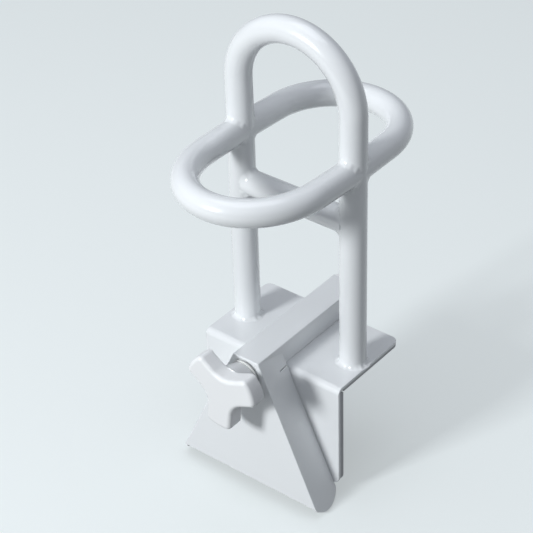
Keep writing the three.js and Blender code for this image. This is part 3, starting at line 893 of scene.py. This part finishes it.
@dataclass
class ClampArm:
    """The folded arm with its apron and cheeks, its end cap and its bush."""

    sheet: float = 3.0
    half_width: float = 14.35
    top: float = 29.1
    foot: float = 6.6
    front: float = -79.0
    flange: float = -43.9
    skirt_foot: float = 2.9
    apron_half: float = 79.0
    apron_bottom: float = -110.0
    lean: float = 2.2
    bush_hole: float = 6.8
    spindle_z: float = 12.3
    toe_in: float = 4.0
    end_radius: float = 22.0
    end_setback: float = 18.0
    slit: float = 1.0
    slit_drop: float = 20.0
    slit_start: float = 24.0
    fold: float = 2.6
    fold_steps: int = 6
    fold_angle: float = 4.0
    edge: float = 0.5
    edge_angle: float = 55.0
    gap: float = 0.3
    skirt_inset: float = 0.05
    end_steps: int = 28
    hole_steps: int = 16
    flat_angle: float = 0.5
    mirror_distance: float = 0.01
    cap_edge: float = 0.6
    bush_edge: float = 0.3

    def build(self) -> None:
        """Builds the arm and what is fixed in it."""
        self.folded_sheet()
        cap = solid_of_node("arm_end_cap")
        soften(cap, self.cap_edge)
        Piece("end_cap_moulding", Body.FRAME, SATIN_PLASTIC, ("arm_end_cap",)).settle(cap)
        bush = solid_of_node("front_bush")
        soften(bush, self.bush_edge, FINE_EDGE_STEPS)
        Piece("front_bush_moulding", Body.FRAME, PALE_NYLON, ("front_bush",)).settle(bush)

    def _leaned(self, place: Vector) -> Vector:
        """A place on the upright apron, moved out as the apron leans."""
        share = (self.top - place.z) / (self.top - self.apron_bottom)
        return place - Y_AXIS * self.lean * share

    def _cheek(self) -> tuple[list[Vector], float]:
        """Draws the right cheek's outer face, past the plane where it is cut off.

        Returns:
            Its corners in order, and how far back its top edge meets that plane.
        """
        fold_top = Vector((self.half_width, self.front, self.top))
        fold = Vector((self.apron_half, self.front, self.apron_bottom)) - fold_top
        down = fold.normalized()
        outwards = Vector((-down.z, 0, down.x))
        reach = self.flange + self.gap - self.front + self.lean
        back = Y_AXIS * reach - outwards * self.toe_in
        depth = back.length
        back.normalize()
        rise = math.sqrt(self.end_radius**2 - self.end_setback**2)
        start, stop = (
            math.degrees(math.asin(across / self.end_radius))
            for across in (-self.end_setback, depth - self.end_setback)
        )
        middle = (fold.length - rise, self.end_setback)
        end = arc(middle, self.end_radius, start, stop, self.end_steps)
        slit_low = self.slit_drop + self.slit
        corners = [
            (0.0, 0.0),
            *end,
            (slit_low, depth),
            (slit_low, self.slit_start),
            (self.slit_drop, self.slit_start),
            (self.slit_drop, depth),
            (-depth * back.x / down.x, depth),
        ]
        places = [self._leaned(fold_top + down * a + back * b) for a, b in corners]
        share = (self.flange - self.front) / (places[-1].y - self.front)
        return places, share

    def _right_half(self, mesh: bmesh.types.BMesh) -> None:
        """Draws the right half of the sheet's outer face, with sharp folds.

        Args:
            mesh: the mesh that it is added to.
        """
        cheek, share = self._cheek()
        face_through(mesh, cheek)
        bmesh.ops.bisect_plane(
            mesh,
            geom=everything(mesh),
            plane_co=Vector((0, self.flange, 0)),
            plane_no=Y_AXIS,
            clear_outer=True,
        )
        x, back = self.half_width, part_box("clamp_arm")[1].y / MILLIMETRE
        corner, rear_corner = Vector((x, self.front, self.top)), Vector((x, back, self.top))
        middle, rear_middle = Vector((0, self.front, self.top)), Vector((0, back, self.top))
        meeting = corner.lerp(cheek[-1], share)
        foot = [Vector((x, y, self.foot)) for y in (self.flange, back)]
        face_through(mesh, [corner, meeting, *foot, rear_corner])
        face_through(mesh, [middle, corner, rear_corner, rear_middle])
        hole = [
            Vector((a, self.front, b))
            for a, b in arc((0, self.spindle_z), self.bush_hole, 90, -90, self.hole_steps)
        ]
        low = [Vector((a, self.front, self.apron_bottom)) for a in (0, self.apron_half)]
        face_through(mesh, [self._leaned(p) for p in (corner, middle, *hole, *low)])

    def folded_sheet(self) -> None:
        """Builds the web, sides, apron and cheeks as one folded sheet."""
        mesh = bmesh.new()
        self._right_half(mesh)
        bmesh.ops.mirror(
            mesh, geom=everything(mesh), axis="X", merge_dist=self.mirror_distance
        )
        bmesh.ops.remove_doubles(mesh, verts=mesh.verts, dist=SEAM_DISTANCE)
        bmesh.ops.recalc_face_normals(mesh, faces=mesh.faces)
        web = max(mesh.faces, key=lambda f: f.calc_center_median().z)
        if web.normal.z < 0:
            bmesh.ops.reverse_faces(mesh, faces=mesh.faces)
        bmesh.ops.dissolve_limit(
            mesh, angle_limit=math.radians(self.flat_angle), verts=mesh.verts, edges=mesh.edges
        )
        soften(mesh, self.fold, self.fold_steps, sharper_than=self.fold_angle)
        bmesh.ops.solidify(mesh, geom=mesh.faces[:], thickness=self.sheet)
        soften(mesh, self.edge, sharper_than=self.edge_angle)
        for side in (-1, 1):
            self._skirt(mesh, side)
        nodes = ("clamp_arm",)
        Piece("clamp_arm_sheet", Body.FRAME, GLOSS_WHITE, nodes, ROUND_CREASE).settle(mesh)

    def _skirt(self, mesh: bmesh.types.BMesh, side: int) -> None:
        """Adds the part of a side that hangs between the cheeks.

        Args:
            mesh: the mesh that it is added to.
            side: -1 for the left and 1 for the right.
        """
        inside = self.half_width - self.skirt_inset
        outline = [
            (self.front + self.sheet, self.top - self.sheet - self.fold),
            (self.flange, self.foot + self.sheet),
            (self.flange, self.skirt_foot),
            (self.front + self.sheet, self.skirt_foot),
        ]
        face = face_through(mesh, [Vector((side * inside, y, z)) for y, z in outline])
        push(mesh, face, X_AXIS * -side * (self.sheet - 2 * self.skirt_inset))


# Knob


@dataclass
class HandKnob:
    """The three-lobed knob on its spindle."""

    axis_z: float = 12.3
    lobes: int = 3
    reach: float = 39.0
    half_width: float = 13.5
    corner: float = 5.0
    fillet: float = 22.0
    turn: float = 24.0
    lobe_back: float = -100.27
    lobe_front: float = -116.87
    rounding: float = 4.0
    rounding_steps: int = 8
    back_rounding: float = 1.2
    back_rounding_steps: int = 4
    hub_front_radius: float = 20.0
    hub_back_radius: float = 14.5
    hub_back: float = -83.17
    hub_sink: float = 1.0
    hub_rounding: float = 0.8
    hub_rounding_start: float = 18.0
    hub_rounding_steps: int = 5
    socket_radius: float = 5.4
    socket_depth: float = 6.0
    arc_steps: int = 16
    fitting_edge: float = 0.25
    thread_pitch: float = 3.0
    thread_crest: float = 5.0
    thread_root: float = 3.5
    thread_marks: tuple[float, ...] = (0.0, 0.9, 1.5, 2.4, 3.0)
    thread_steps: int = 24
    thread_spare_turns: int = 2

    def build(self) -> None:
        """Builds the knob and the pieces on its spindle."""
        self.knob()
        self.spindle()
        for node, name, finish in (
            ("knob_insert", "knob_insert_steel", ZINC_STEEL),
            ("thrust_washer", "thrust_washer_moulding", PALE_NYLON),
            ("retaining_ring", "retaining_ring_steel", ZINC_STEEL),
        ):
            mesh = solid_of_node(node)
            soften(mesh, self.fitting_edge, FINE_EDGE_STEPS)
            Piece(name, Body.KNOB, finish, (node,)).settle(mesh)

    def outline(self) -> list[tuple[float, float]]:
        """Draws the lobes' outline about the axis.

        Returns:
            Its points in order, across and up.
        """
        pitch = 360 / self.lobes
        across = self.half_width - self.corner
        away = self.reach - self.corner
        lean = math.degrees(math.asin(across / away))
        far = (self.half_width + self.fillet) / math.sin(math.radians(pitch / 2))
        points = []
        for lobe in range(self.lobes):
            middle = self.turn + lobe * pitch
            low, high, valley = middle - lean, middle + lean, middle + pitch / 2
            points += arc(polar(away, low), self.corner, middle - 90, low, self.arc_steps)
            points += arc((0, 0), self.reach, low, high, self.arc_steps)[1:-1]
            points += arc(polar(away, high), self.corner, high, middle + 90, self.arc_steps)
            start, end = middle - 90, middle + pitch + 90 - 360
            points += arc(polar(far, valley), self.fillet, start, end, self.arc_steps)[1:-1]
        return points

    def knob(self) -> None:
        """Builds the knob: lobes and a tapered hub."""
        mesh = bmesh.new()
        points = [Vector((x, self.lobe_back, self.axis_z + z)) for x, z in self.outline()]
        face = face_through(mesh, points)
        push(mesh, face, Y_AXIS * (self.lobe_front - self.lobe_back))
        for size, steps, y in (
            (self.rounding, self.rounding_steps, self.lobe_front),
            (self.back_rounding, self.back_rounding_steps, self.lobe_back),
        ):
            soften(mesh, size, steps, only=lambda e: all(abs(v.co.y - y) < NEAR for v in e.verts))
        size, start = self.hub_rounding, self.hub_rounding_start
        rim = (self.hub_back_radius - size, self.hub_back - size)
        hub = [
            (0.0, self.lobe_back - self.hub_sink),
            (self.hub_front_radius, self.lobe_back - self.hub_sink),
            *arc(rim, size, start, 90, self.hub_rounding_steps),
            (self.socket_radius, self.hub_back),
            (self.socket_radius, self.hub_back - self.socket_depth),
            (0.0, self.hub_back - self.socket_depth),
        ]
        turned = bmesh.new()
        lathe(turned, hub, Vector((0, 0, self.axis_z)), Y_AXIS)
        data = bpy.data.meshes.new("hub")
        turned.to_mesh(data)
        turned.free()
        mesh.from_mesh(data)
        bpy.data.meshes.remove(data)
        Piece("knob_moulding", Body.KNOB, SATIN_PLASTIC, ("knob",), ROUND_CREASE).settle(mesh)

    def spindle(self) -> None:
        """Builds the threaded spindle."""
        low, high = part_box("spindle")
        start, end = low.y / MILLIMETRE, high.y / MILLIMETRE
        pitch, crest, root = self.thread_pitch, self.thread_crest, self.thread_root
        turns = math.ceil((end - start) / pitch) + self.thread_spare_turns
        mesh = bmesh.new()
        begin = start - pitch
        profile = zip((root, root, crest, crest, root), self.thread_marks)
        points = [Vector((r, begin + y, self.axis_z)) for r, y in profile]
        verts = [bmesh.ops.create_vert(mesh, co=p)["vert"][0] for p in points]
        edges = [mesh.edges.new(pair) for pair in pairwise(verts)]
        bmesh.ops.spin(
            mesh,
            geom=verts + edges,
            cent=Vector((0, 0, self.axis_z)),
            axis=Y_AXIS,
            dvec=Y_AXIS * pitch / self.thread_steps,
            angle=2 * math.pi * turns,
            steps=turns * self.thread_steps,
        )
        bmesh.ops.remove_doubles(mesh, verts=mesh.verts, dist=SEAM_DISTANCE)
        for y, outer in ((start, False), (end, True)):
            bmesh.ops.bisect_plane(
                mesh,
                geom=everything(mesh),
                plane_co=Vector((0, y, 0)),
                plane_no=Y_AXIS,
                clear_outer=outer,
                clear_inner=not outer,
            )
        bmesh.ops.holes_fill(mesh, edges=[e for e in mesh.edges if e.is_boundary])
        Piece("spindle_steel", Body.KNOB, ZINC_STEEL, ("spindle",)).settle(mesh)


# Sliding jaw


@dataclass
class SlidingJaw:
    """The slider in the arm, with the jaw that it draws against the rim."""

    edge: float = 0.5

    def build(self) -> None:
        """Builds the jaw's pieces."""
        for node, name, finish in (
            ("jaw_block", "jaw_block_moulding", PALE_NYLON),
            ("spindle_nut", "spindle_nut_steel", ZINC_STEEL),
            ("inner_jaw", "inner_jaw_plate", GLOSS_WHITE),
            ("inner_jaw_pad", "inner_jaw_rubber", PAD_RUBBER),
            ("jaw_screw_left", "jaw_screw_left_steel", ZINC_STEEL),
            ("jaw_screw_right", "jaw_screw_right_steel", ZINC_STEEL),
        ):
            mesh = solid_of_node(node)
            soften(mesh, self.edge)
            Piece(name, Body.JAW, finish, (node,)).settle(mesh)


# Studio


@dataclass
class Studio:
    """The floor, the lights and the camera, in metres."""

    camera_place: tuple[float, float, float] = (0.80266, -1.01925, 0.99862)
    camera_target: tuple[float, float, float] = (-0.0371, 0.0, 0.0700)
    camera_roll: float = math.radians(-1.85)
    lens: float = 118.13
    sensor: float = 36.0
    floor_z: float = -0.1208
    floor_size: float = 12.0
    floor_roughness: float = 0.7
    floor_colour: tuple[float, float, float, float] = (0.06, 0.062, 0.064, 1)
    seen_colour: tuple[float, float, float, float] = (0.79, 0.83, 0.83, 1)
    floor_glow: float = 0.36
    glow_colour: tuple[float, float, float, float] = (0.93, 0.99, 1.0, 1)
    glow_strength: float = 1.08
    lamp_target: tuple[float, float, float] = (0.0, 0.0, 0.1)
    key_place: tuple[float, float, float] = (-0.66, -2.5, 1.35)
    key_colour: tuple[float, float, float] = (0.955, 0.985, 1.0)
    key_size: float = 0.55
    key_power: float = 62.0
    overhead_place: tuple[float, float, float] = (-0.2, 0.1, 2.2)
    overhead_colour: tuple[float, float, float] = (0.89, 0.925, 1.0)
    overhead_size: float = 1.5
    overhead_power: float = 11.0
    world_colour: tuple[float, float, float, float] = (0.88, 0.93, 1.0, 1)
    world_strength: float = 0.35

    def build(self) -> None:
        """Sets up the whole studio."""
        self.camera()
        self.floor()
        self.world()
        self.area("key", self.key_place, self.key_size, self.key_power, self.key_colour)
        self.area(
            "overhead",
            self.overhead_place,
            self.overhead_size,
            self.overhead_power,
            self.overhead_colour,
        )
        bpy.context.scene.view_settings.view_transform = "Standard"

    def camera(self) -> None:
        """Places the camera at the photograph's viewing angle."""
        data = bpy.data.cameras.new("camera")
        data.sensor_width = self.sensor
        data.lens = self.lens
        made = add_object("camera", data)
        ahead = (Vector(self.camera_target) - Vector(self.camera_place)).normalized()
        right = ahead.cross(Z_AXIS).normalized()
        up = right.cross(ahead)
        turned_right = right * math.cos(self.camera_roll) + up * math.sin(self.camera_roll)
        turned_up = up * math.cos(self.camera_roll) - right * math.sin(self.camera_roll)
        turned = Matrix((turned_right, turned_up, -ahead)).transposed().to_4x4()
        turned.translation = self.camera_place
        made.matrix_world = turned
        bpy.context.scene.camera = made

    def floor(self) -> None:
        """Lays the floor under the rail."""
        mesh = bmesh.new()
        bmesh.ops.create_grid(mesh, x_segments=1, y_segments=1, size=self.floor_size / 2)
        bmesh.ops.translate(mesh, vec=Z_AXIS * self.floor_z, verts=mesh.verts)
        data = bpy.data.meshes.new("floor")
        mesh.to_mesh(data)
        mesh.free()
        made = add_object("floor", data)
        material = bpy.data.materials.new("pale floor")
        material.use_nodes = True
        shader = material.node_tree.nodes["Principled BSDF"]
        shader.inputs["Roughness"].default_value = self.floor_roughness
        self._lift(material, shader)
        data.materials.append(material)

    def _lift(self, material: bpy.types.Material, shader: bpy.types.ShaderNode) -> None:
        """Makes the floor pale where it is seen, and dark for the light that it throws back.

        The rail's shadow stays on it, because only a part of the pale floor glows.

        Args:
            material: the floor's material.
            shader: its surface shader.
        """
        nodes, links = material.node_tree.nodes, material.node_tree.links
        path = nodes.new("ShaderNodeLightPath")
        seen = path.outputs["Is Camera Ray"]
        for ray in ("Is Glossy Ray", "Is Transmission Ray"):
            either = nodes.new("ShaderNodeMath")
            either.operation = "MAXIMUM"
            links.new(seen, either.inputs[0])
            links.new(path.outputs[ray], either.inputs[1])
            seen = either.outputs["Value"]
        pale = nodes.new("ShaderNodeMix")
        pale.data_type = "RGBA"
        pale.inputs["A"].default_value = self.floor_colour
        pale.inputs["B"].default_value = self.seen_colour
        links.new(seen, pale.inputs["Factor"])
        links.new(pale.outputs["Result"], shader.inputs["Base Color"])
        share = nodes.new("ShaderNodeMath")
        share.operation = "MULTIPLY"
        share.inputs[1].default_value = self.floor_glow
        links.new(seen, share.inputs[0])
        glow = nodes.new("ShaderNodeEmission")
        glow.inputs["Color"].default_value = self.glow_colour
        glow.inputs["Strength"].default_value = self.glow_strength
        mix = nodes.new("ShaderNodeMixShader")
        links.new(share.outputs["Value"], mix.inputs["Fac"])
        links.new(shader.outputs["BSDF"], mix.inputs[1])
        links.new(glow.outputs["Emission"], mix.inputs[2])
        links.new(mix.outputs["Shader"], nodes["Material Output"].inputs["Surface"])

    def world(self) -> None:
        """Gives the studio its soft surrounding light."""
        world = bpy.data.worlds.new("studio")
        bpy.context.scene.world = world
        world.use_nodes = True
        background = world.node_tree.nodes["Background"]
        background.inputs["Color"].default_value = self.world_colour
        background.inputs["Strength"].default_value = self.world_strength

    def area(
        self,
        name: str,
        place: tuple[float, float, float],
        size: float,
        power: float,
        colour: tuple[float, float, float],
    ) -> None:
        """Hangs a soft lamp that faces the rail.

        Args:
            name: the lamp's name.
            place: where it hangs.
            size: its side.
            power: its power in watts.
            colour: the colour of its light.
        """
        data = bpy.data.lights.new(name, "AREA")
        data.color = colour
        data.size = size
        data.energy = power
        made = add_object(name, data)
        aim = Vector(self.lamp_target) - Vector(place)
        turned = aim.to_track_quat("-Z", "Y").to_matrix().to_4x4()
        made.matrix_world = Matrix.Translation(place) @ turned


def main() -> None:
    """Builds the rail's sub-assemblies, then the studio."""
    logging.basicConfig(level=logging.INFO, format="%(name)s: %(message)s")
    for assembly in (TubeHandle(), Saddle(), ClampArm(), HandKnob(), SlidingJaw(), Studio()):
        LOG.info("building %s", type(assembly).__name__)
        assembly.build()


if __name__ == "__main__":
    main()
